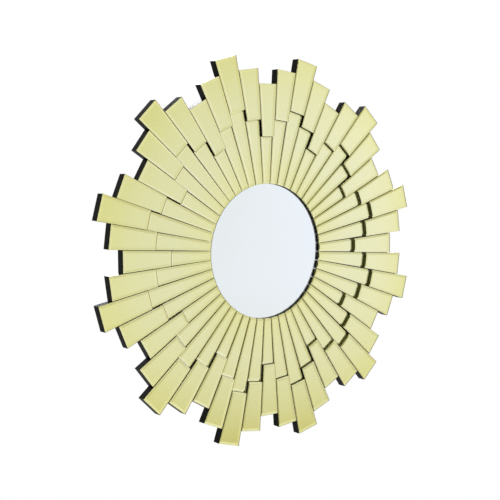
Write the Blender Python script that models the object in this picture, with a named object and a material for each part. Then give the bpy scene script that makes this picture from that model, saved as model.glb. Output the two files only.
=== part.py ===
"""Sunburst wall mirror: a round mirror in a ring of 48 columns of bevelled mirror tiles.

The mirror hangs on a wall. +Z is up, +X is to the right as seen from the front, the front faces -Y, and the
origin is the centre of the flat back of the backing board, on the wall. All sizes are in metres.

Every depth is measured from the wall, as a height above it, so a height h lies at y = -h.
"""

import math

import bmesh
import bpy
from mathutils import Matrix, Vector

# Columns around the mirror. The pattern of lengths repeats once in every group.
GROUPS = 12
PATTERN = ("short", "medium", "long", "medium")

# Apothem of the opening, and the lengths of the tiles along their column.
OPENING_APOTHEM = 0.1385
INNER_LENGTH = {"short": 0.0955, "medium": 0.130, "long": 0.1535}
OUTER_LENGTH = {"short": 0.106, "medium": 0.1015, "long": 0.108}

# Glass: thickness, and the ground bevel along every edge of a tile.
TILE_GLASS = 0.003
CENTRE_GLASS = 0.003
BEVEL_WIDTH = 0.005
BEVEL_DROP = 0.001

# Slots between neighbouring tiles, and the clear line between an inner tile and the block beyond it.
INNER_SLOT = 0.0015
OUTER_SLOT = 0.0012
JOINT_LINE = 0.0005
WEB_THICKNESS = 0.0008
WEB_INSET = 0.0005

# Carrier board: rim over the centre mirror, rise of the blocks under the outer tiles, floor of their slots.
RIM_THICKNESS = 0.0017
RIM_OVERLAP = 0.011
RIM_SLOT_LENGTH = 0.010
BLOCK_RISE = 0.006
SLOT_FLOOR_RISE = 0.0005
SLOT_END_INSET = 0.0005

# Backing board, set back from the shortest column so that it stays out of sight, with a raised round pad that
# holds the centre mirror against the rim.
BACKING_SETBACK = 0.040
POCKET_DEPTH = 0.0065
POCKET_FLOOR = 0.0025
PAD_RISE = 0.0057
PAD_EDGE_INSET = 0.004

# Keyhole hangers, let into the back of the backing board.
HANGER_ANGLE = math.radians(52)
HANGER_EDGE_DISTANCE = 0.055
PLATE_WIDTH = 0.016
PLATE_LENGTH = 0.046
PLATE_THICKNESS = 0.0015
PLATE_CORNER = 0.003
HEAD_HOLE_RADIUS = 0.0048
NECK_WIDTH = 0.0048
NECK_RISE = 0.009
POCKET_MARGIN = 0.001
SCREW_SPACING = 0.036
SCREW_RADIUS = 0.0015
SCREW_LENGTH = 0.007
SCREW_HEAD_RADIUS = 0.0028
SCREW_HEAD_HEIGHT = 0.0011
SCREW_HEAD_CROWN = 0.0004

# Clear gap between pieces that touch.
SEAT_GAP = 0.0003

# Facets of the round pieces.
ROUND_FACETS = 96
SMALL_FACETS = 20

# Extra length of a cutter past the surface that it leaves.
CUT_OVERRUN = 0.002

# Worked-out sizes.
COLUMNS = GROUPS * len(PATTERN)
COLUMN_STEP = 2 * math.pi / COLUMNS
HALF_STEP = COLUMN_STEP / 2
BACKING_THICKNESS = POCKET_DEPTH + POCKET_FLOOR
BOARD_BACK = BACKING_THICKNESS + SEAT_GAP
PAD_FRONT = BACKING_THICKNESS + PAD_RISE
CENTRE_BACK = PAD_FRONT + SEAT_GAP
RIM_BACK = CENTRE_BACK + CENTRE_GLASS + SEAT_GAP
BED_FRONT = RIM_BACK + RIM_THICKNESS
BLOCK_FRONT = BED_FRONT + BLOCK_RISE
INNER_TILE_BACK = BED_FRONT + SEAT_GAP
OUTER_TILE_BACK = BLOCK_FRONT + SEAT_GAP
CENTRE_RADIUS = OPENING_APOTHEM + RIM_OVERLAP
PAD_RADIUS = CENTRE_RADIUS - PAD_EDGE_INSET
RECESS_DEPTH = PLATE_THICKNESS + SCREW_HEAD_HEIGHT + SCREW_HEAD_CROWN + 2 * SEAT_GAP


def lengths_of(index):
    """Joint and end apothems of a column."""
    kind = PATTERN[index % len(PATTERN)]
    joint = OPENING_APOTHEM + INNER_LENGTH[kind]
    return joint, joint + OUTER_LENGTH[kind]


def shortest_end():
    return min(lengths_of(index)[1] for index in range(len(PATTERN)))


BACKING_RADIUS = shortest_end() - BACKING_SETBACK


def clear_scene():
    for old in list(bpy.data.objects):
        bpy.data.objects.remove(old, do_unlink=True)


def make_material(name, colour, metallic, roughness):
    material = bpy.data.materials.new(name)
    material.use_nodes = True
    shader = material.node_tree.nodes["Principled BSDF"]
    shader.inputs["Base Color"].default_value = (*colour, 1.0)
    shader.inputs["Metallic"].default_value = metallic
    shader.inputs["Roughness"].default_value = roughness
    material.diffuse_color = (*colour, 1.0)
    return material


def add_object(name, bm, material=None, smooth=False):
    """Closes the bmesh into a named object whose faces point out."""
    bmesh.ops.recalc_face_normals(bm, faces=bm.faces)
    mesh = bpy.data.meshes.new(name)
    bm.to_mesh(mesh)
    bm.free()
    if smooth:
        mesh.shade_smooth()
        mesh.set_sharp_from_angle(angle=math.radians(30))
    obj = bpy.data.objects.new(name, mesh)
    bpy.context.scene.collection.objects.link(obj)
    if material:
        mesh.materials.append(material)
    return obj


def hide_as_cutter(obj):
    obj.hide_render = True
    obj.hide_viewport = False
    obj.display_type = "WIRE"
    return obj


def add_boolean(obj, other, operation="DIFFERENCE"):
    modifier = obj.modifiers.new(other.name, "BOOLEAN")
    modifier.object = other
    modifier.operation = operation
    modifier.solver = "EXACT"
    hide_as_cutter(other)


def plan_to_world(point, height):
    return Vector((point[0], -height, point[1]))


def turn(point, angle):
    """Turns a plan point by an angle, counter-clockwise as seen from the front."""
    cos_a, sin_a = math.cos(angle), math.sin(angle)
    return (point[0] * cos_a - point[1] * sin_a, point[0] * sin_a + point[1] * cos_a)


def add_prism(bm, outline, low, high):
    """Adds a prism over a plan outline, between two heights, and returns its front face."""
    verts = [bm.verts.new(plan_to_world(point, low)) for point in outline]
    base = bm.faces.new(verts)
    extruded = bmesh.ops.extrude_face_region(bm, geom=[base], use_keep_orig=True)
    front = next(item for item in extruded["geom"] if isinstance(item, bmesh.types.BMFace))
    bmesh.ops.translate(bm, verts=front.verts[:], vec=(0, low - high, 0))
    return front


def add_disc(bm, radius, low, high, centre=(0.0, 0.0), facets=ROUND_FACETS):
    """Adds an upright round prism between two heights."""
    step = 2 * math.pi / facets
    outline = [(centre[0] + radius * math.cos(i * step), centre[1] + radius * math.sin(i * step))
               for i in range(facets)]
    return add_prism(bm, outline, low, high)


def star_outline(apothem_of):
    """Plan outline with a straight end across every column, and steps along the rays between columns."""
    points = []
    for index in range(COLUMNS):
        apothem = apothem_of(index)
        half_width = apothem * math.tan(HALF_STEP)
        for side in (-1, 1):
            points.append(turn((apothem, side * half_width), index * COLUMN_STEP))
    kept = []
    for point in points:
        if not kept or math.dist(point, kept[-1]) > 1e-6:
            kept.append(point)
    if math.dist(kept[0], kept[-1]) < 1e-6:
        kept.pop()
    return kept


def tile_outline(index, start, end, slot):
    """Plan outline of a tile: a wedge cut off square, half a slot inside the rays on both sides."""
    inset = slot / 2 / math.cos(HALF_STEP)
    near = start * math.tan(HALF_STEP) - inset
    far = end * math.tan(HALF_STEP) - inset
    corners = ((start, -near), (end, -far), (end, far), (start, near))
    return [turn(corner, index * COLUMN_STEP) for corner in corners], 2 * near


def add_tile(bm, index, start, end, slot, back, thickness):
    """Adds one glass tile, bevelled along all four front edges."""
    outline, narrowest = tile_outline(index, start, end, slot)
    edge_front = back + TILE_GLASS - BEVEL_DROP
    front = add_prism(bm, outline, back + TILE_GLASS - thickness, edge_front)
    bevel = min(BEVEL_WIDTH, 0.4 * narrowest)
    bmesh.ops.recalc_face_normals(bm, faces=bm.faces)
    bmesh.ops.inset_region(bm, faces=[front], thickness=bevel, depth=BEVEL_DROP, use_even_offset=True)


def make_outer_tiles(material):
    for index in range(COLUMNS):
        joint, end = lengths_of(index)
        bm = bmesh.new()
        add_tile(bm, index, joint, end, OUTER_SLOT, OUTER_TILE_BACK, TILE_GLASS)
        add_object(f"outer_tile_{index + 1:02d}", bm, material)


def make_inner_tile_ring(material):
    """The inner tiles as one solid: the separate tiles, joined at the back by a thin web."""
    web = bmesh.new()
    add_prism(web, star_outline(lambda index: lengths_of(index)[0] - JOINT_LINE - WEB_INSET),
              INNER_TILE_BACK, INNER_TILE_BACK + WEB_THICKNESS)
    ring = add_object("inner_tile_ring", web, material)

    hole = bmesh.new()
    opening = OPENING_APOTHEM + WEB_INSET
    add_prism(hole, star_outline(lambda index: opening),
              INNER_TILE_BACK - CUT_OVERRUN, INNER_TILE_BACK + WEB_THICKNESS + CUT_OVERRUN)
    add_boolean(ring, add_object("web_opening", hole))

    tiles = bmesh.new()
    for index in range(COLUMNS):
        end = lengths_of(index)[0] - JOINT_LINE
        sunk = TILE_GLASS - WEB_THICKNESS / 2
        add_tile(tiles, index, OPENING_APOTHEM, end, INNER_SLOT, INNER_TILE_BACK, sunk)
    add_boolean(ring, add_object("inner_tiles", tiles), "UNION")
    return ring


def add_ray_box(bm, index, start, end, width, low, high):
    """Adds a box along the ray between a column and the next one."""
    angle = (index + 0.5) * COLUMN_STEP
    corners = ((start, -width / 2), (end, -width / 2), (end, width / 2), (start, width / 2))
    add_prism(bm, [turn(corner, angle) for corner in corners], low, high)


def add_slot_cutter(bm, index):
    """Adds the cutter of one slot between blocks: part-deep between them, right through past the shorter one."""
    joint, end = lengths_of(index)
    next_joint, next_end = lengths_of(index + 1)
    angle = (index + 0.5) * COLUMN_STEP
    start = min(joint, next_joint) - CUT_OVERRUN
    step = min(end, next_end) / math.cos(HALF_STEP) - SLOT_END_INSET
    stop = max(end, next_end) / math.cos(HALF_STEP) + CUT_OVERRUN
    floor = BED_FRONT + SLOT_FLOOR_RISE
    top = BLOCK_FRONT + CUT_OVERRUN
    through = BOARD_BACK - CUT_OVERRUN
    profile = ((start, floor), (step, floor), (step, through), (stop, through), (stop, top), (start, top))
    side = []
    for along, height in profile:
        side.append(bm.verts.new(plan_to_world(turn((along, -OUTER_SLOT / 2), angle), height)))
    face = bm.faces.new(side)
    extruded = bmesh.ops.extrude_face_region(bm, geom=[face], use_keep_orig=True)
    moved = [item for item in extruded["geom"] if isinstance(item, bmesh.types.BMVert)]
    across = turn((0, OUTER_SLOT), angle)
    bmesh.ops.translate(bm, verts=moved, vec=(across[0], 0, across[1]))


def make_carrier_board(material):
    """One board: a bed for the inner tiles, raised blocks for the outer ones, a rim over the centre mirror."""
    bm = bmesh.new()
    add_prism(bm, star_outline(lambda index: lengths_of(index)[1]), BOARD_BACK, BLOCK_FRONT)
    board = add_object("carrier_board", bm, material)

    bed = bmesh.new()
    add_prism(bed, star_outline(lambda index: lengths_of(index)[0]), BED_FRONT, BLOCK_FRONT + CUT_OVERRUN)
    add_boolean(board, add_object("bed_cutter", bed))

    slots = bmesh.new()
    for index in range(COLUMNS):
        add_slot_cutter(slots, index)
    add_boolean(board, add_object("block_slot_cutter", slots))

    rebate = bmesh.new()
    add_disc(rebate, CENTRE_RADIUS + SEAT_GAP, BOARD_BACK - CUT_OVERRUN, RIM_BACK)
    add_boolean(board, add_object("rebate_cutter", rebate))

    opening = bmesh.new()
    add_prism(opening, star_outline(lambda index: OPENING_APOTHEM), BOARD_BACK, BED_FRONT + CUT_OVERRUN)
    add_boolean(board, add_object("opening_cutter", opening))

    rim_slots = bmesh.new()
    for index in range(COLUMNS):
        add_ray_box(rim_slots, index, OPENING_APOTHEM - CUT_OVERRUN, OPENING_APOTHEM + RIM_SLOT_LENGTH,
                    INNER_SLOT, RIM_BACK - SEAT_GAP, BED_FRONT + CUT_OVERRUN)
    add_boolean(board, add_object("rim_slot_cutter", rim_slots))
    return board


def make_centre_mirror(material):
    bm = bmesh.new()
    add_disc(bm, CENTRE_RADIUS, CENTRE_BACK, CENTRE_BACK + CENTRE_GLASS)
    return add_object("centre_mirror", bm, material)


def hanger_centres():
    reach = BACKING_RADIUS - HANGER_EDGE_DISTANCE
    height = reach * math.sin(HANGER_ANGLE)
    return {"left": (-reach * math.cos(HANGER_ANGLE), height), "right": (reach * math.cos(HANGER_ANGLE), height)}


def rectangle(centre, width, length):
    x, z = centre
    return [(x - width / 2, z - length / 2), (x + width / 2, z - length / 2),
            (x + width / 2, z + length / 2), (x - width / 2, z + length / 2)]


def screw_places(centre):
    return [(centre[0], centre[1] - SCREW_SPACING / 2), (centre[0], centre[1] + SCREW_SPACING / 2)]


def keyhole_outline(centre, grow):
    """Plan outline of a keyhole: a round entry with a round-ended neck above it, larger by grow all round."""
    x, z = centre
    radius = HEAD_HOLE_RADIUS + grow
    half_neck = NECK_WIDTH / 2 + grow
    meet = math.asin(half_neck / radius)
    points = []
    for i in range(SMALL_FACETS + 1):
        angle = math.pi / 2 + meet + (2 * math.pi - 2 * meet) * i / SMALL_FACETS
        points.append((x + radius * math.cos(angle), z + radius * math.sin(angle)))
    for i in range(SMALL_FACETS // 2 + 1):
        angle = math.pi * i / (SMALL_FACETS // 2)
        points.append((x + half_neck * math.cos(angle), z + NECK_RISE + half_neck * math.sin(angle)))
    return points


def make_backing_board(material):
    """Round board with a raised pad in front, and recesses for the hangers in its back."""
    bm = bmesh.new()
    front = add_disc(bm, BACKING_RADIUS, 0.0, BACKING_THICKNESS)
    bmesh.ops.recalc_face_normals(bm, faces=bm.faces)
    margin = (BACKING_RADIUS - PAD_RADIUS) * math.cos(math.pi / ROUND_FACETS)
    bmesh.ops.inset_region(bm, faces=[front], thickness=margin, use_even_offset=True)
    raised = bmesh.ops.extrude_face_region(bm, geom=[front])
    moved = [item for item in raised["geom"] if isinstance(item, bmesh.types.BMVert)]
    bmesh.ops.translate(bm, verts=moved, vec=(0, -PAD_RISE, 0))
    bmesh.ops.delete(bm, geom=[front], context="FACES_ONLY")
    board = add_object("backing_board", bm, material, smooth=True)
    for side, centre in hanger_centres().items():
        recess = bmesh.new()
        add_prism(recess, rectangle(centre, PLATE_WIDTH + 2 * SEAT_GAP, PLATE_LENGTH + 2 * SEAT_GAP),
                  -CUT_OVERRUN, RECESS_DEPTH)
        add_boolean(board, add_object(f"plate_recess_{side}", recess))

        pocket = bmesh.new()
        half = HEAD_HOLE_RADIUS + POCKET_MARGIN
        pocket_centre = (centre[0], centre[1] + NECK_RISE / 2)
        add_prism(pocket, rectangle(pocket_centre, 2 * half, 2 * half + NECK_RISE), 0.0, POCKET_DEPTH)
        add_boolean(board, add_object(f"head_pocket_{side}", pocket))

        holes = bmesh.new()
        depth = RECESS_DEPTH - SEAT_GAP - PLATE_THICKNESS + SCREW_LENGTH
        for place in screw_places(centre):
            add_disc(holes, SCREW_RADIUS + SEAT_GAP, 0.0, min(depth, BACKING_THICKNESS - POCKET_FLOOR / 2),
                     place, SMALL_FACETS)
        add_boolean(board, add_object(f"screw_holes_{side}", holes))
    return board


def make_hanger(side, centre, material):
    """Keyhole plate, flush in its recess, with its two screws."""
    plate_back = RECESS_DEPTH - SEAT_GAP - PLATE_THICKNESS
    bm = bmesh.new()
    add_prism(bm, rectangle(centre, PLATE_WIDTH, PLATE_LENGTH), plate_back, plate_back + PLATE_THICKNESS)
    upright = [edge for edge in bm.edges if abs(edge.verts[0].co.y - edge.verts[1].co.y) > PLATE_THICKNESS / 2]
    bmesh.ops.bevel(bm, geom=upright, offset=PLATE_CORNER, segments=3, profile=0.5, affect="EDGES", material=-1)
    plate = add_object(f"hanger_plate_{side}", bm, material)

    cutter = bmesh.new()
    low, high = plate_back - CUT_OVERRUN, plate_back + PLATE_THICKNESS + CUT_OVERRUN
    add_prism(cutter, keyhole_outline(centre, 0.0), low, high)
    for place in screw_places(centre):
        add_disc(cutter, SCREW_RADIUS + SEAT_GAP, low, high, place, SMALL_FACETS)
    add_boolean(plate, add_object(f"plate_holes_{side}", cutter))

    for row, place in zip(("lower", "upper"), screw_places(centre)):
        make_screw(f"hanger_screw_{side}_{row}", place, plate_back - SEAT_GAP, material)


def make_screw(name, place, head_seat, material):
    """Pan-head screw turned from its half profile, with its head towards the wall."""
    tip = min(head_seat + SCREW_LENGTH, BACKING_THICKNESS - POCKET_FLOOR / 2 - SEAT_GAP)
    crown = head_seat - SCREW_HEAD_HEIGHT
    top = crown - SCREW_HEAD_CROWN
    profile = ((0.0, top), (SCREW_HEAD_RADIUS * 0.6, top + SCREW_HEAD_CROWN * 0.3), (SCREW_HEAD_RADIUS, crown),
               (SCREW_HEAD_RADIUS, head_seat), (SCREW_RADIUS, head_seat), (SCREW_RADIUS, tip - SCREW_RADIUS),
               (0.0, tip))
    bm = bmesh.new()
    verts = [bm.verts.new((radius, -height, 0.0)) for radius, height in profile]
    edges = [bm.edges.new(pair) for pair in zip(verts, verts[1:])]
    bmesh.ops.spin(bm, geom=verts + edges, cent=(0, 0, 0), axis=(0, 1, 0), angle=2 * math.pi,
                   steps=SMALL_FACETS, use_merge=True)
    bmesh.ops.remove_doubles(bm, verts=bm.verts, dist=1e-6)
    bmesh.ops.translate(bm, verts=bm.verts, vec=(place[0], 0, place[1]))
    return add_object(name, bm, material, smooth=True)


def main():
    clear_scene()
    black_board = make_material("black_board", (0.012, 0.012, 0.014), 0.0, 0.5)
    gold_mirror = make_material("gold_mirror", (0.74, 0.72, 0.38), 1.0, 0.05)
    silver_mirror = make_material("silver_mirror", (0.86, 0.88, 0.91), 1.0, 0.03)
    plated_steel = make_material("plated_steel", (0.55, 0.55, 0.56), 1.0, 0.35)
    make_backing_board(black_board)
    make_carrier_board(black_board)
    make_centre_mirror(silver_mirror)
    make_inner_tile_ring(gold_mirror)
    make_outer_tiles(gold_mirror)
    for side, centre in hanger_centres().items():
        make_hanger(side, centre, plated_steel)


main()
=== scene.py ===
"""Sunburst wall mirror: bevelled gold mirror tiles on a black board, around a plain round mirror.

+Z is up, the front faces -Y, and the origin is on the wall behind the middle. All sizes are in metres.
A height is measured from the wall, so a height h lies at y = -h. A column's own coordinates are u, outward
from the middle, and v, across it, counter-clockwise as seen from the front.
"""

import logging
import math
import random
from dataclasses import dataclass, field
from enum import Enum

import bmesh
import bpy
from mathutils import Matrix, Vector


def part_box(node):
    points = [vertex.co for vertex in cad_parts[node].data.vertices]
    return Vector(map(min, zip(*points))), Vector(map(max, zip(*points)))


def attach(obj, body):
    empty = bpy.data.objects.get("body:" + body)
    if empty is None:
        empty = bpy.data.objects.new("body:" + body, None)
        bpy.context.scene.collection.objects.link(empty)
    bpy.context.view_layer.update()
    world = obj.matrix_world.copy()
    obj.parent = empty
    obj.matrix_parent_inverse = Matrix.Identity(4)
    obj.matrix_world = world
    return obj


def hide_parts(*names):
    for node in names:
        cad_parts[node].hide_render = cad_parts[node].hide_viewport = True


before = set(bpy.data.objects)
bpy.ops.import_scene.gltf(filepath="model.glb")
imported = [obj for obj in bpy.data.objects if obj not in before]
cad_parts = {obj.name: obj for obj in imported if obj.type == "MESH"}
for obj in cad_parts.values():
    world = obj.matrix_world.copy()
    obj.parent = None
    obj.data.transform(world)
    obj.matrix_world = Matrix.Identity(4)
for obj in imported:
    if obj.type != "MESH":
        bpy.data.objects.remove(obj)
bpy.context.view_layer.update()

LOG = logging.getLogger("sunburst_mirror")
BODY = "root"
COLUMNS = 48
COLUMN_STEP = 2 * math.pi / COLUMNS
HALF_STEP = COLUMN_STEP / 2
MM = 0.001
# Two heights this close are the same level, and a vertex this close to an end lies in it.
SAME_LEVEL = 1e-6
END_ZONE = 1e-4
# Most of a noise texture's values lie between these.
NOISE_RANGE = {"From Min": 0.3, "From Max": 0.7}
# Sockets of a colour Mix node: its factor, its two colours and its result.
MIX_FACTOR = 0
MIX_A = 6
MIX_B = 7
MIX_RESULT = 2


class Slot(Enum):
    """The record's material slots of the new pieces."""

    GOLD = "gold_mirror"
    SILVER = "silver_mirror"


class Ring(Enum):
    """The two rings of gold tiles."""

    INNER = "inner"
    OUTER = "outer"


class TileFace(Enum):
    """The finishes of a mirror tile, in the order of its material slots."""

    GLASS = 0
    COATING = 1
    GROUND_EDGE = 2
    PAINTED_END = 3
    POLISHED_SIDE = 4


def linear(hex_colour: str) -> tuple[float, float, float, float]:
    """Turns an sRGB hex colour into a linear one.

    Args:
        hex_colour: Six hex digits after a hash sign.

    Returns:
        Linear red, green, blue and an alpha of one.
    """
    channels = []
    for start in (1, 3, 5):
        value = int(hex_colour[start:start + 2], 16) / 255
        channels.append(value / 12.92 if value <= 0.04045 else ((value + 0.055) / 1.055) ** 2.4)
    return (*channels, 1.0)


def add_node(tree: bpy.types.NodeTree, kind: str, settings: dict | None = None,
             inputs: dict | None = None) -> bpy.types.Node:
    """Adds a node with its settings, and with its inputs set or linked.

    Args:
        tree: The node tree that the node goes into.
        kind: The node's type name.
        settings: Properties of the node by name.
        inputs: Values or output sockets by input name or index.

    Returns:
        The new node.
    """
    node = tree.nodes.new(kind)
    for name, value in (settings or {}).items():
        setattr(node, name, value)
    for name, value in (inputs or {}).items():
        if isinstance(value, bpy.types.NodeSocket):
            tree.links.new(value, node.inputs[name])
        else:
            node.inputs[name].default_value = value
    return node


def set_ramp(node: bpy.types.Node, stops: list[tuple[float, str]]) -> None:
    """Sets the stops of a colour ramp.

    Args:
        node: The colour ramp node.
        stops: Place and sRGB hex colour of each stop, in rising order.
    """
    ramp = node.color_ramp
    while len(ramp.elements) > 1:
        ramp.elements.remove(ramp.elements[-1])
    ramp.elements[0].position = stops[0][0]
    ramp.elements[0].color = linear(stops[0][1])
    for place, colour in stops[1:]:
        ramp.elements.new(place).color = linear(colour)


def new_material(name: str) -> tuple[bpy.types.Material, bpy.types.NodeTree, bpy.types.Node]:
    """Makes an empty node material.

    Args:
        name: The material's name.

    Returns:
        The material, its node tree and its Principled shader.
    """
    material = bpy.data.materials.new(name)
    material.use_nodes = True
    tree = material.node_tree
    return material, tree, tree.nodes["Principled BSDF"]


def place(u: float, v: float, height: float, angle: float) -> Vector:
    """Turns a point in a column's own coordinates into the frame.

    Args:
        u: Distance outward along the column.
        v: Distance across the column.
        height: Height above the wall.
        angle: Angle of the column.

    Returns:
        The point in the frame.
    """
    cos_a, sin_a = math.cos(angle), math.sin(angle)
    return Vector((u * cos_a - v * sin_a, -height, u * sin_a + v * cos_a))


def column_points(name: str, angle: float) -> list[tuple[float, float, float]]:
    """Reads the vertices of a CAD node in a column's own coordinates.

    Args:
        name: The CAD node.
        angle: Angle of the column.

    Returns:
        One (u, v, height) for each vertex.
    """
    cos_a, sin_a = math.cos(angle), math.sin(angle)
    found = []
    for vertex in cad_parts[name].data.vertices:
        x, y, z = vertex.co
        found.append((x * cos_a + z * sin_a, z * cos_a - x * sin_a, -y))
    return found


@dataclass(frozen=True)
class TileSize:
    """Place and sizes of one tile in its column.

    The start and end are along the column, and the widths are the whole width there.
    """

    angle: float
    start: float
    end: float
    start_width: float
    end_width: float
    back: float
    front: float


@dataclass(frozen=True)
class TileLay:
    """How far a tile lies off its place, as laid by hand."""

    shift: float = 0.0
    turn: float = 0.0
    push: float = 0.0
    start_spread: float = 0.0
    end_spread: float = 0.0
    tilt_u: float = 0.0
    tilt_v: float = 0.0


def finish_mesh(name: str, bm: bmesh.types.BMesh, materials: list[bpy.types.Material],
                replaced: list[str]) -> bpy.types.Object:
    """Closes a bmesh into a piece that rides on the mirror and stands for its CAD nodes.

    Args:
        name: The piece's name.
        bm: The finished bmesh, which is freed.
        materials: Materials in slot order.
        replaced: CAD nodes that the piece stands for.

    Returns:
        The new object.
    """
    mesh = bpy.data.meshes.new(name)
    bm.to_mesh(mesh)
    bm.free()
    for material in materials:
        mesh.materials.append(material)
    piece = bpy.data.objects.new(name, mesh)
    bpy.context.scene.collection.objects.link(piece)
    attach(piece, BODY)
    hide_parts(*replaced)
    LOG.info("piece: %s", name)
    return piece


@dataclass(frozen=True)
class ClearGlass:
    """Float glass, 3 mm, with a polished bevel.

    The eye gets a clear outer skin over the coating, with a faint second reflection and sharp bevel lines.
    """

    name: str
    colour: str = "#FFFFFF"
    sheen: str = "#FFFFFF"
    ior: float = 1.52

    def build(self) -> bpy.types.Material:
        """Builds the glass with plain values, so that it stays glass in the exported model.

        Returns:
            The material.
        """
        material, _, shader = new_material(self.name)
        shader.inputs["Base Color"].default_value = linear(self.colour)
        shader.inputs["Specular Tint"].default_value = linear(self.sheen)
        shader.inputs["Transmission Weight"].default_value = 1.0
        shader.inputs["Roughness"].default_value = 0.0
        shader.inputs["IOR"].default_value = self.ior
        return material


@dataclass(frozen=True)
class MirrorCoating:
    """Metal film on the back of the glass.

    The eye gets the colour of the mirror from it, with a tint that isn't quite even along and across a tile.
    """

    name: str
    tints: tuple[tuple[float, str], ...]
    reach: float
    uneven: float = 0.02
    roughness: float = 0.02

    def build(self) -> bpy.types.Material:
        """Builds the coating, with its tint set by the distance from the mirror's middle.

        Returns:
            The material.
        """
        material, tree, shader = new_material(self.name)
        place_node = add_node(tree, "ShaderNodeTexCoord")
        flat = add_node(tree, "ShaderNodeVectorMath", {"operation": "MULTIPLY"},
                        {0: place_node.outputs["Object"], 1: (1.0, 0.0, 1.0)})
        distance = add_node(tree, "ShaderNodeVectorMath", {"operation": "LENGTH"},
                            {0: flat.outputs["Vector"]})
        share = add_node(tree, "ShaderNodeMath", {"operation": "DIVIDE"},
                         {0: distance.outputs["Value"], 1: self.reach})
        # Clouds in the tint about 60 mm across, so one tile differs a little from the next.
        clouds = add_node(tree, "ShaderNodeTexNoise", {}, {"Vector": place_node.outputs["Object"],
                                                           "Scale": 1 / (60 * MM), "Detail": 2.0})
        drift = add_node(tree, "ShaderNodeMapRange", {}, NOISE_RANGE | {
            "Value": clouds.outputs["Fac"], "To Min": -self.uneven, "To Max": self.uneven})
        moved = add_node(tree, "ShaderNodeMath", {"operation": "ADD"},
                         {0: share.outputs["Value"], 1: drift.outputs["Result"]})
        tint = add_node(tree, "ShaderNodeValToRGB", {}, {"Fac": moved.outputs["Value"]})
        set_ramp(tint, list(self.tints))
        tree.links.new(tint.outputs["Color"], shader.inputs["Base Color"])
        shader.inputs["Metallic"].default_value = 1.0
        shader.inputs["Roughness"].default_value = self.roughness
        return material


@dataclass(frozen=True)
class GroundEdge:
    """Sawn and ground edge of coated glass, left matt.

    The eye gets a dull, dark line at the end of the glass, with fine grinding marks along it.
    """

    name: str
    dark: str
    light: str
    roughness: float = 0.45
    ior: float = 1.52

    def build(self) -> bpy.types.Material:
        """Builds the edge with grinding marks.

        Returns:
            The material.
        """
        material, tree, shader = new_material(self.name)
        place_node = add_node(tree, "ShaderNodeTexCoord")
        # Grinding marks about 1 mm apart, drawn coarser than the real ones so that they show.
        marks = add_node(tree, "ShaderNodeTexNoise", {}, {"Vector": place_node.outputs["Object"],
                                                          "Scale": 1 / (1 * MM), "Detail": 3.0})
        tint = add_node(tree, "ShaderNodeValToRGB", {}, {"Fac": marks.outputs["Fac"]})
        set_ramp(tint, [(0.3, self.dark), (0.7, self.light)])
        tree.links.new(tint.outputs["Color"], shader.inputs["Base Color"])
        shader.inputs["Roughness"].default_value = self.roughness
        shader.inputs["IOR"].default_value = self.ior
        bump = add_node(tree, "ShaderNodeBump", {}, {"Strength": 0.2, "Distance": 0.1 * MM,
                                                     "Height": marks.outputs["Fac"]})
        tree.links.new(bump.outputs["Normal"], shader.inputs["Normal"])
        return material


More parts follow.
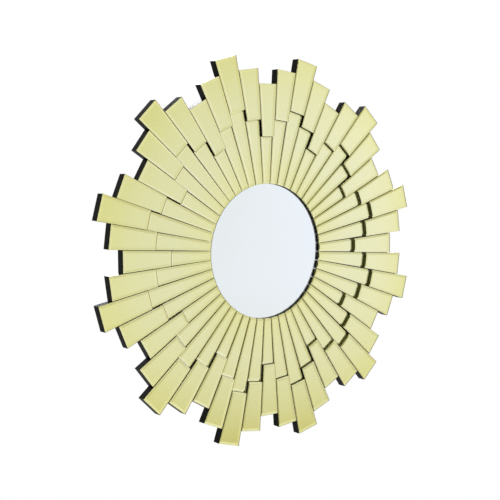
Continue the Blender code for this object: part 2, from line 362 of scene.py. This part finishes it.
@dataclass(frozen=True)
class PaintedBoard:
    """Medium-density fibreboard under sprayed satin black paint.

    The eye gets a deep black with a soft sheen and a fine pebbled skin. The walls of the blocks that look
    toward the middle are olive, a painted reflection of the gold tiles that face them.
    """

    name: str
    dark: str = "#0D0D09"
    light: str = "#171810"
    # Olive of the painted reflection of the gold tiles, where it starts and how squarely a wall must look
    # inward.
    gold_reflection_colour: str = "#4E530A"
    gold_reflection_radius: float = 0.18
    gold_reflection_facing: float = -0.8
    roughness: tuple[float, float] = (0.24, 0.34)

    def build(self) -> bpy.types.Material:
        """Builds the paint from its pebbled skin and faint clouds.

        Returns:
            The material.
        """
        material, tree, shader = new_material(self.name)
        place_node = add_node(tree, "ShaderNodeTexCoord")
        # Clouds 25 mm across where the spray lies thicker.
        clouds = add_node(tree, "ShaderNodeTexNoise", {}, {"Vector": place_node.outputs["Object"],
                                                           "Scale": 1 / (25 * MM), "Detail": 4.0})
        tint = add_node(tree, "ShaderNodeValToRGB", {}, {"Fac": clouds.outputs["Fac"]})
        set_ramp(tint, [(0.3, self.dark), (0.7, self.light)])
        # Painted reflection: olive on the walls that look toward the middle, from beyond the rim of the
        # opening outward, standing in for the gold tiles seen in them.
        flat = add_node(tree, "ShaderNodeVectorMath", {"operation": "MULTIPLY"},
                        {0: place_node.outputs["Object"], 1: (1.0, 0.0, 1.0)})
        outward = add_node(tree, "ShaderNodeVectorMath", {"operation": "NORMALIZE"},
                           {0: flat.outputs["Vector"]})
        facing = add_node(tree, "ShaderNodeVectorMath", {"operation": "DOT_PRODUCT"},
                          {0: outward.outputs["Vector"], 1: place_node.outputs["Normal"]})
        inward = add_node(tree, "ShaderNodeMath", {"operation": "LESS_THAN"},
                          {0: facing.outputs["Value"], 1: self.gold_reflection_facing})
        radius = add_node(tree, "ShaderNodeVectorMath", {"operation": "LENGTH"}, {0: flat.outputs["Vector"]})
        beyond = add_node(tree, "ShaderNodeMath", {"operation": "GREATER_THAN"},
                          {0: radius.outputs["Value"], 1: self.gold_reflection_radius})
        # Where the olive painted reflection of the gold tiles goes.
        reflects_gold = add_node(tree, "ShaderNodeMath", {"operation": "MULTIPLY"},
                          {0: inward.outputs["Value"], 1: beyond.outputs["Value"]})
        mixed = add_node(tree, "ShaderNodeMix", {"data_type": "RGBA"}, {
            MIX_FACTOR: reflects_gold.outputs["Value"], MIX_A: tint.outputs["Color"], MIX_B: linear(self.gold_reflection_colour)})
        tree.links.new(mixed.outputs[MIX_RESULT], shader.inputs["Base Color"])
        sheen = add_node(tree, "ShaderNodeMapRange", {}, NOISE_RANGE | {
            "Value": clouds.outputs["Fac"], "To Min": self.roughness[0], "To Max": self.roughness[1]})
        tree.links.new(sheen.outputs["Result"], shader.inputs["Roughness"])
        # Pebbled skin of sprayed paint, 1.2 mm from crest to crest.
        pebbles = add_node(tree, "ShaderNodeTexNoise", {}, {"Vector": place_node.outputs["Object"],
                                                            "Scale": 1 / (1.2 * MM), "Detail": 2.0})
        bump = add_node(tree, "ShaderNodeBump", {}, {"Strength": 0.25, "Distance": 0.08 * MM,
                                                     "Height": pebbles.outputs["Fac"]})
        tree.links.new(bump.outputs["Normal"], shader.inputs["Normal"])
        return material


@dataclass(frozen=True)
class ZincPlate:
    """Pressed steel with bright zinc plating.

    The eye gets a cool grey metal with fine brushed streaks and a soft shine.
    """

    name: str
    dark: str = "#9A9CA0"
    light: str = "#C9CBCF"
    streak_width: float = 0.4 * MM
    streak_length: float = 12 * MM
    roughness: tuple[float, float] = (0.24, 0.42)

    def build(self) -> bpy.types.Material:
        """Builds the plating with its streaks.

        Returns:
            The material.
        """
        material, tree, shader = new_material(self.name)
        place_node = add_node(tree, "ShaderNodeTexCoord")
        # Streaks from rolling, upright along the plate.
        stretched = add_node(tree, "ShaderNodeMapping", {}, {
            "Vector": place_node.outputs["Object"],
            "Scale": (1 / self.streak_width, 1 / self.streak_width, 1 / self.streak_length)})
        streaks = add_node(tree, "ShaderNodeTexNoise", {}, {
            "Vector": stretched.outputs["Vector"], "Scale": 1.0, "Detail": 3.0})
        tint = add_node(tree, "ShaderNodeValToRGB", {}, {"Fac": streaks.outputs["Fac"]})
        set_ramp(tint, [(0.25, self.dark), (0.75, self.light)])
        tree.links.new(tint.outputs["Color"], shader.inputs["Base Color"])
        rough = add_node(tree, "ShaderNodeMapRange", {}, {
            "Value": streaks.outputs["Fac"], "From Min": 0.25, "From Max": 0.75,
            "To Min": self.roughness[0], "To Max": self.roughness[1]})
        tree.links.new(rough.outputs["Result"], shader.inputs["Roughness"])
        shader.inputs["Metallic"].default_value = 1.0
        return material


@dataclass
class MirrorTile:
    """One tile of coated glass, bevelled along its four front edges.

    Its sides are polished between neighbours, and painted black from the place where they stand bare, on the
    clockwise and the counter-clockwise side. Its inner end is ground and its outer end is painted.
    """

    name: str
    size: TileSize
    lay: TileLay
    replaced: list[str]
    bare_from: tuple[float, float] = (math.inf, math.inf)
    bevel_width: float = 5.0 * MM
    bevel_drop: float = 1.0 * MM
    # The bevel takes no more than this share of the tile's narrow end.
    bevel_share: float = 0.4
    arris: float = 0.12 * MM

    def corners(self) -> list[Vector]:
        """Works out the four back corners, with the tile's turn, shift and spread.

        Returns:
            The corners, counter-clockwise as seen from the front.
        """
        size = self.size
        half_start = size.start_width / 2 + self.lay.start_spread
        half_end = size.end_width / 2 + self.lay.end_spread
        middle = Vector(((size.start + size.end) / 2, 0.0))
        square = ((size.start, -half_start), (size.end, -half_end),
                  (size.end, half_end), (size.start, half_start))
        turned = []
        for u, v in square:
            offset = Vector((u, v)) - middle
            cos_t, sin_t = math.cos(self.lay.turn), math.sin(self.lay.turn)
            u_now = middle.x + offset.x * cos_t - offset.y * sin_t + self.lay.push
            v_now = middle.y + offset.x * sin_t + offset.y * cos_t + self.lay.shift
            turned.append(place(u_now, v_now, size.back, size.angle))
        return turned

    def build(self, materials: list[bpy.types.Material]) -> bpy.types.Object:
        """Builds the slab, its bevel and its arris, and dresses the faces.

        Args:
            materials: One material for each finish of a tile.

        Returns:
            The tile.
        """
        bm = bmesh.new()
        base = bm.faces.new([bm.verts.new(corner) for corner in self.corners()])
        grown = bmesh.ops.extrude_face_region(bm, geom=[base], use_keep_orig=True)
        front = next(item for item in grown["geom"] if isinstance(item, bmesh.types.BMFace))
        edge_height = self.size.front - self.size.back - self.bevel_drop
        bmesh.ops.translate(bm, verts=front.verts[:], vec=(0, -edge_height, 0))
        bmesh.ops.recalc_face_normals(bm, faces=bm.faces)
        width = min(self.bevel_width, self.bevel_share * self.size.start_width)
        bmesh.ops.inset_region(bm, faces=[front], thickness=width, depth=self.bevel_drop,
                               use_even_offset=True)
        rim = [edge for edge in bm.edges if self.is_outer_edge(edge)]
        bmesh.ops.bevel(bm, geom=rim, offset=self.arris, segments=1, profile=0.5, affect="EDGES", material=-1)
        for cut in sorted({start for start in self.bare_from if start < self.size.end}):
            bmesh.ops.bisect_plane(bm, geom=bm.verts[:] + bm.edges[:] + bm.faces[:], dist=1e-7,
                                   plane_co=place(cut, 0.0, 0.0, self.size.angle),
                                   plane_no=place(1.0, 0.0, 0.0, self.size.angle))
        bmesh.ops.recalc_face_normals(bm, faces=bm.faces)
        for face in bm.faces:
            face.material_index = self.face_kind(face).value
        self.tilt(bm)
        return finish_mesh(self.name, bm, materials, self.replaced)

    def is_outer_edge(self, edge: bmesh.types.BMEdge) -> bool:
        """Tells whether an edge is at the rim of the front or of the back, where the glass is arrissed.

        Args:
            edge: An edge of the tile, before it is tilted.

        Returns:
            True for an edge of a rim.
        """
        heights = [-vertex.co.y for vertex in edge.verts]
        level = abs(heights[0] - heights[1]) < SAME_LEVEL
        return level and heights[0] < self.size.front - self.bevel_drop / 2

    def face_kind(self, face: bmesh.types.BMFace) -> TileFace:
        """Tells the finish of a face from the way it looks.

        Args:
            face: A face of the tile, before it is tilted.

        Returns:
            The finish.
        """
        if face.normal.y > 0.99:
            return TileFace.COATING
        if face.normal.y < -0.9:
            return TileFace.GLASS
        along = place(1.0, 0.0, 0.0, self.size.angle)
        outward = face.normal.dot(along)
        if abs(outward) > 0.5:
            return TileFace.PAINTED_END if outward > 0 else TileFace.GROUND_EDGE
        side = face.normal.dot(place(0.0, 1.0, 0.0, self.size.angle)) > 0
        bare = face.calc_center_median().dot(along) > self.bare_from[side]
        return TileFace.PAINTED_END if bare else TileFace.POLISHED_SIDE

    def tilt(self, bm: bmesh.types.BMesh) -> None:
        """Leans the tile a little on its bed, and sinks it so that no corner stands higher than before.

        Args:
            bm: The tile's bmesh.
        """
        middle = place((self.size.start + self.size.end) / 2, 0.0, self.size.back, self.size.angle)
        across = place(0.0, 1.0, 0.0, self.size.angle)
        along = place(1.0, 0.0, 0.0, self.size.angle)
        turn = Matrix.Rotation(self.lay.tilt_u, 3, across) @ Matrix.Rotation(self.lay.tilt_v, 3, along)
        bmesh.ops.rotate(bm, verts=bm.verts, cent=middle, matrix=turn)
        proud = max(-vertex.co.y for vertex in bm.verts) - self.size.front
        bmesh.ops.translate(bm, verts=bm.verts, vec=(0, max(proud, 0.0), 0))


@dataclass
class SunburstTiles:
    """The gold tiles: an inner and an outer one in every column."""

    glass: ClearGlass = ClearGlass("clear_float_glass_gold_tiles")
    coating: MirrorCoating = MirrorCoating("champagne_gold_mirror_coating", (
        (0.345, "#EDE8A7"), (0.57, "#EDE9B4"), (0.75, "#EDE9B0"), (0.85, "#EDE8A9"), (0.925, "#ECE7A0"),
        (1.0, "#EBE597")), 0.4)
    edge: GroundEdge = GroundEdge("ground_edge_of_gold_glass", "#44490A", "#5C6112")
    end_paint: PaintedBoard = PaintedBoard("black_paint_on_tile_ends")
    side: ClearGlass = ClearGlass("olive_polished_sides_of_gold_glass", "#566004", "#7E8A14")
    seed: int = 29
    web_height: float = 0.8 * MM
    tilt_spread: float = math.radians(0.12)
    turn_spread: float = math.radians(0.10)
    shift_spread: float = 0.10 * MM
    # Inner tiles nearly touch at the opening and open up toward the joint, on each side.
    spread: dict[Ring, tuple[float, float]] = field(default_factory=lambda: {
        Ring.INNER: (0.35 * MM, -0.15 * MM), Ring.OUTER: (0.1 * MM, 0.1 * MM)})
    # The tiles sit tightest toward the upper left, and a hair inward.
    snugness: float = 0.15 * MM
    snuggest: float = math.radians(120)
    push: float = -0.1 * MM
    # Outer tiles that were cut a little narrow, so their slots are wide.
    narrow_tiles: tuple[int, ...] = (25, 28, 29, 30, 31, 32, 33, 34, 35, 41)
    narrow_by: float = 0.3 * MM
    # Inner tiles lie a little counter-clockwise of the blocks.
    ring_shift: dict[Ring, float] = field(default_factory=lambda: {
        Ring.INNER: 0.5 * MM, Ring.OUTER: 0.0})

    def tile_size(self, name: str, angle: float) -> TileSize:
        """Reads one tile's place and sizes from its CAD node.

        Args:
            name: The CAD node.
            angle: Angle of the tile's column.

        Returns:
            The sizes of the tile.
        """
        slope = math.tan(HALF_STEP)
        points = [p for p in column_points(name, angle) if p[0] > 0 and abs(p[1]) < p[0] * slope]
        front = max(p[2] for p in points)
        back = min(p[2] for p in points)
        body = [p for p in points if p[2] > back + 1.5 * self.web_height]
        start = min(p[0] for p in body)
        end = max(p[0] for p in body)
        start_width = 2 * max(abs(p[1]) for p in body if p[0] < start + END_ZONE)
        end_width = 2 * max(abs(p[1]) for p in body if p[0] > end - END_ZONE)
        return TileSize(angle, start, end, start_width, end_width, back, front)

    def lay(self, ring: Ring, index: int, dice: random.Random) -> TileLay:
        """Draws how one tile lies off its place.

        Args:
            ring: The tile's ring.
            index: The tile's column, counted from zero.
            dice: The seeded source of the small differences.

        Returns:
            The lay of the tile.
        """
        start_spread, end_spread = self.spread[ring]
        snug = self.snugness * math.cos(index * COLUMN_STEP - self.snuggest)
        if ring is Ring.OUTER and index + 1 in self.narrow_tiles:
            snug -= self.narrow_by
        return TileLay(shift=self.ring_shift[ring] + dice.uniform(-1, 1) * self.shift_spread,
                       turn=dice.uniform(-1, 1) * self.turn_spread,
                       push=self.push,
                       start_spread=start_spread + snug,
                       end_spread=end_spread + snug,
                       tilt_u=dice.uniform(-1, 1) * self.tilt_spread,
                       tilt_v=dice.uniform(-1, 1) * self.tilt_spread)

    def build(self) -> None:
        """Lays all the tiles, each a little off its place."""
        finishes = (self.glass, self.coating, self.edge, self.end_paint, self.side)
        materials = [finish.build() for finish in finishes]
        dice = random.Random(self.seed)
        outer_nodes = [f"outer_tile_{index + 1:02d}" for index in range(COLUMNS)]
        ends = [self.tile_size(node, index * COLUMN_STEP).end for index, node in enumerate(outer_nodes)]
        for index in range(COLUMNS):
            angle = index * COLUMN_STEP
            beside = [ends[(index + step) % COLUMNS] for step in (-1, 1)]
            for ring, node in ((Ring.INNER, "inner_tile_ring"), (Ring.OUTER, outer_nodes[index])):
                name = f"{ring.value}_mirror_tile_{index + 1:02d}"
                tile = MirrorTile(name, self.tile_size(node, angle), self.lay(ring, index, dice), [node])
                if ring is Ring.OUTER:
                    tile.bare_from = tuple(end if end < tile.size.end - MM else math.inf for end in beside)
                tile.build(materials)


@dataclass
class CentreMirror:
    """The plain round mirror behind the rim of the carrier board."""

    glass: ClearGlass = ClearGlass("clear_float_glass_centre")
    coating: MirrorCoating = MirrorCoating(
        "silver_mirror_coating", ((0.0, "#F3F4F2"), (1.0, "#F2F4F2")), 0.15)
    edge: GroundEdge = GroundEdge("ground_edge_of_clear_glass", "#3C4644", "#6A7673")
    facets: int = 256
    arris: float = 0.4 * MM

    def build(self) -> None:
        """Turns the disc, rounds its arrises and dresses its faces."""
        low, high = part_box("centre_mirror")
        radius = (high.x - low.x) / 2
        bm = bmesh.new()
        bmesh.ops.create_circle(bm, cap_ends=True, segments=self.facets, radius=radius)
        bmesh.ops.rotate(bm, verts=bm.verts, cent=(0, 0, 0), matrix=Matrix.Rotation(math.radians(90), 3, "X"))
        bmesh.ops.translate(bm, verts=bm.verts, vec=(0, high.y, 0))
        grown = bmesh.ops.extrude_face_region(bm, geom=bm.faces[:], use_keep_orig=True)
        moved = [item for item in grown["geom"] if isinstance(item, bmesh.types.BMVert)]
        bmesh.ops.translate(bm, verts=moved, vec=(0, low.y - high.y, 0))
        bmesh.ops.recalc_face_normals(bm, faces=bm.faces)
        rim = [edge for edge in bm.edges if abs(edge.verts[0].co.y - edge.verts[1].co.y) < SAME_LEVEL]
        bmesh.ops.bevel(bm, geom=rim, offset=self.arris, segments=1, profile=0.5, affect="EDGES", material=-1)
        bmesh.ops.recalc_face_normals(bm, faces=bm.faces)
        for face in bm.faces:
            kind = TileFace.GROUND_EDGE
            if abs(face.normal.y) > 0.99:
                kind = TileFace.COATING if face.normal.y > 0 else TileFace.GLASS
            face.material_index = kind.value
        materials = [self.glass.build(), self.coating.build(), self.edge.build()]
        finish_mesh("centre_mirror_disc", bm, materials, ["centre_mirror"])


@dataclass
class Boards:
    """The two fibreboard pieces: the carrier board and the round backing board."""

    paint: PaintedBoard = PaintedBoard("satin_black_painted_fibreboard")

    def build(self) -> None:
        """Dresses both boards with the paint."""
        material = self.paint.build()
        for name in ("carrier_board", "backing_board"):
            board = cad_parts[name]
            board.data.materials.clear()
            board.data.materials.append(material)
            LOG.info("piece: %s", name)


@dataclass
class Hangers:
    """The keyhole plates and their screws."""

    plating: ZincPlate = ZincPlate("bright_zinc_plated_steel")

    def build(self) -> None:
        """Dresses the plates and screws with the plating."""
        material = self.plating.build()
        for name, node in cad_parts.items():
            if name.startswith("hanger_"):
                node.data.materials.clear()
                node.data.materials.append(material)
                LOG.info("piece: %s", name)


@dataclass(frozen=True)
class Softbox:
    """Large square lamp that looks at the mirror: its power in watts, its side and its place."""

    name: str
    energy: float
    size: float
    at: tuple[float, float, float]

    def build(self) -> None:
        """Hangs the lamp in its place."""
        data = bpy.data.lights.new(self.name, "AREA")
        data.energy = self.energy
        data.size = self.size
        lamp = bpy.data.objects.new(self.name, data)
        lamp.location = self.at
        lamp.rotation_euler = (-Vector(self.at)).to_track_quat("-Z", "Y").to_euler()
        bpy.context.scene.collection.objects.link(lamp)


@dataclass
class Studio:
    """Soft white studio: a bright surround, a pale floor and large soft lamps.

    The surround's colours go by the angle in degrees, round from straight ahead of the mirror to its right,
    and by the angle above the horizon. The twist grows away from its middle, up to its limit.
    """

    floor_height: float = -1.3
    floor_radius: float = 1.9
    floor_forward: float = 1.7
    strength: float = 1.3
    lamps: tuple[Softbox, ...] = (Softbox("overhead_softbox", 60.0, 2.4, (0.0, -0.3, 2.6)),
                                  Softbox("rear_softbox", 70.0, 1.6, (1.5, 2.0, 1.1)))
    around: tuple[tuple[float, str], ...] = (
        (-180, "#6C6C6C"), (-144, "#606060"), (-100, "#6A6A6A"), (-60, "#A4A4A0"), (0, "#D8D8D2"),
        (17, "#DCDCD4"), (29, "#D5D9D8"), (36, "#DADEE3"), (40, "#DEE2EB"), (44, "#E1E5F3"),
        (56, "#D8D8D0"), (90, "#D2D2CC"), (130, "#A0A0A0"), (180, "#6C6C6C"))
    upward: tuple[tuple[float, str], ...] = (
        (-90, "#FFFFFF"), (-26, "#FFFFFF"), (-19, "#E6E4CE"), (-15.7, "#E2DEC2"), (-13.4, "#F2F0DF"),
        (-11, "#FBFAF4"), (-7, "#FFFFFF"), (1, "#FEFEFD"), (4, "#FBFBFA"), (90, "#FFFFFF"))
    twist_around: float = math.radians(36.5)
    twist_sine: float = -0.085
    twist_limit: float = 0.015
    twist_gain: tuple[float, float, float] = (3.5, 3.5, 8.0)

    def build_floor(self) -> None:
        """Builds the round pale floor."""
        material, tree, shader = new_material("pale_studio_floor")
        place_node = add_node(tree, "ShaderNodeTexCoord")
        # Faint unevenness of a painted floor, 300 mm across.
        clouds = add_node(tree, "ShaderNodeTexNoise", {}, {"Vector": place_node.outputs["Object"],
                                                           "Scale": 1 / 0.3, "Detail": 2.0})
        tint = add_node(tree, "ShaderNodeValToRGB", {}, {"Fac": clouds.outputs["Fac"]})
        set_ramp(tint, [(0.0, "#F4F4F4"), (1.0, "#F8F8F8")])
        tree.links.new(tint.outputs["Color"], shader.inputs["Base Color"])
        shader.inputs["Roughness"].default_value = 0.9
        bm = bmesh.new()
        bmesh.ops.create_circle(bm, cap_ends=True, segments=96, radius=self.floor_radius)
        mesh = bpy.data.meshes.new("floor")
        bm.to_mesh(mesh)
        bm.free()
        mesh.materials.append(material)
        floor = bpy.data.objects.new("floor", mesh)
        bpy.context.scene.collection.objects.link(floor)
        floor.location = (0.0, -self.floor_forward, self.floor_height)

    def build_surround(self) -> None:
        """Builds the surround: plain white to the camera, and softly graded where the mirror reflects it."""
        world = bpy.data.worlds.new("studio_surround")
        bpy.context.scene.world = world
        world.use_nodes = True
        tree = world.node_tree
        background = tree.nodes["Background"]
        direction = add_node(tree, "ShaderNodeTexCoord")
        axes = add_node(tree, "ShaderNodeSeparateXYZ", {}, {0: direction.outputs["Generated"]})
        front = add_node(tree, "ShaderNodeMath", {"operation": "MULTIPLY"}, {0: axes.outputs["Y"], 1: -1.0})
        # Angle round from straight ahead of the mirror, to the right, as a share of half a turn.
        round_angle = add_node(tree, "ShaderNodeMath", {"operation": "ARCTAN2"},
                               {0: axes.outputs["X"], 1: front.outputs["Value"]})
        share = add_node(tree, "ShaderNodeMapRange", {}, {
            "Value": round_angle.outputs["Value"], "From Min": -math.pi, "From Max": math.pi})
        across = add_node(tree, "ShaderNodeValToRGB", {}, {"Fac": share.outputs["Result"]})
        set_ramp(across, [((angle + 180) / 360, colour) for angle, colour in self.around])
        # Height above the floor's horizon, from -1 to 1 as the sine of the elevation.
        height = add_node(tree, "ShaderNodeMapRange", {}, {"Value": axes.outputs["Z"], "From Min": -1.0})
        upward = add_node(tree, "ShaderNodeValToRGB", {}, {"Fac": height.outputs["Result"]})
        set_ramp(upward, [((math.sin(math.radians(angle)) + 1) / 2, colour) for angle, colour in self.upward])
        graded = add_node(tree, "ShaderNodeMix", {"data_type": "RGBA", "blend_type": "MULTIPLY"}, {
            MIX_FACTOR: 1.0, MIX_A: across.outputs["Color"], MIX_B: upward.outputs["Color"]})
        # A slow twist: brighter and bluer toward the upper right and the lower left of the surround.
        turned = add_node(tree, "ShaderNodeMath", {"operation": "SUBTRACT"},
                          {0: round_angle.outputs["Value"], 1: self.twist_around})
        raised = add_node(tree, "ShaderNodeMath", {"operation": "SUBTRACT"},
                          {0: axes.outputs["Z"], 1: self.twist_sine})
        product = add_node(tree, "ShaderNodeMath", {"operation": "MULTIPLY"},
                           {0: turned.outputs["Value"], 1: raised.outputs["Value"]})
        twist = add_node(tree, "ShaderNodeClamp", {}, {
            "Value": product.outputs["Value"], "Min": -self.twist_limit, "Max": self.twist_limit})
        gain = add_node(tree, "ShaderNodeVectorMath", {"operation": "MULTIPLY_ADD"},
                        {0: twist.outputs["Result"], 1: self.twist_gain, 2: (1.0, 1.0, 1.0)})
        twisted = add_node(tree, "ShaderNodeVectorMath", {"operation": "MULTIPLY"},
                           {0: graded.outputs[MIX_RESULT], 1: gain.outputs["Vector"]})
        tree.links.new(twisted.outputs["Vector"], background.inputs["Color"])
        background.inputs["Strength"].default_value = self.strength
        # Straight to the camera the surround is plain white; only lighting and reflections are graded.
        white = add_node(tree, "ShaderNodeBackground", {}, {"Color": linear("#FFFFFF")})
        path = add_node(tree, "ShaderNodeLightPath")
        chosen = add_node(tree, "ShaderNodeMixShader", {}, {0: path.outputs["Is Camera Ray"],
                                                            1: background.outputs[0], 2: white.outputs[0]})
        tree.links.new(chosen.outputs[0], tree.nodes["World Output"].inputs["Surface"])

    def build(self) -> None:
        """Builds the whole studio."""
        self.build_floor()
        self.build_surround()
        for lamp in self.lamps:
            lamp.build()
        bpy.context.scene.view_settings.view_transform = "Standard"
        LOG.info("studio built")


@dataclass
class PhotoCamera:
    """The camera at the photograph's place, on the left and a little above the mirror's middle."""

    lens: float = 75.659
    sensor_width: float = 36.0
    at: tuple[float, float, float] = (-1.29572, -1.73196, 0.19503)
    yaw: float = math.radians(36.22133)
    pitch: float = math.radians(-5.11855)
    roll: float = math.radians(-0.36117)

    def build(self) -> None:
        """Places the camera."""
        data = bpy.data.cameras.new("photo_camera")
        data.lens = self.lens
        data.sensor_width = self.sensor_width
        camera = bpy.data.objects.new("photo_camera", data)
        forward = Vector((math.sin(self.yaw) * math.cos(self.pitch),
                          math.cos(self.yaw) * math.cos(self.pitch),
                          math.sin(self.pitch)))
        level = Vector((math.cos(self.yaw), -math.sin(self.yaw), 0.0))
        upright = level.cross(forward)
        right = math.cos(self.roll) * level + math.sin(self.roll) * upright
        up = -math.sin(self.roll) * level + math.cos(self.roll) * upright
        axes = Matrix((right, up, -forward)).transposed()
        camera.matrix_world = Matrix.Translation(self.at) @ axes.to_4x4()
        bpy.context.scene.collection.objects.link(camera)
        bpy.context.scene.camera = camera
        LOG.info("camera placed")


def main() -> None:
    """Builds the camera, the studio and every piece of the mirror."""
    logging.basicConfig(level=logging.INFO, format="%(name)s: %(message)s")
    for assembly in (PhotoCamera(), Studio(), Boards(), CentreMirror(), SunburstTiles(), Hangers()):
        assembly.build()


if __name__ == "__main__":
    main()
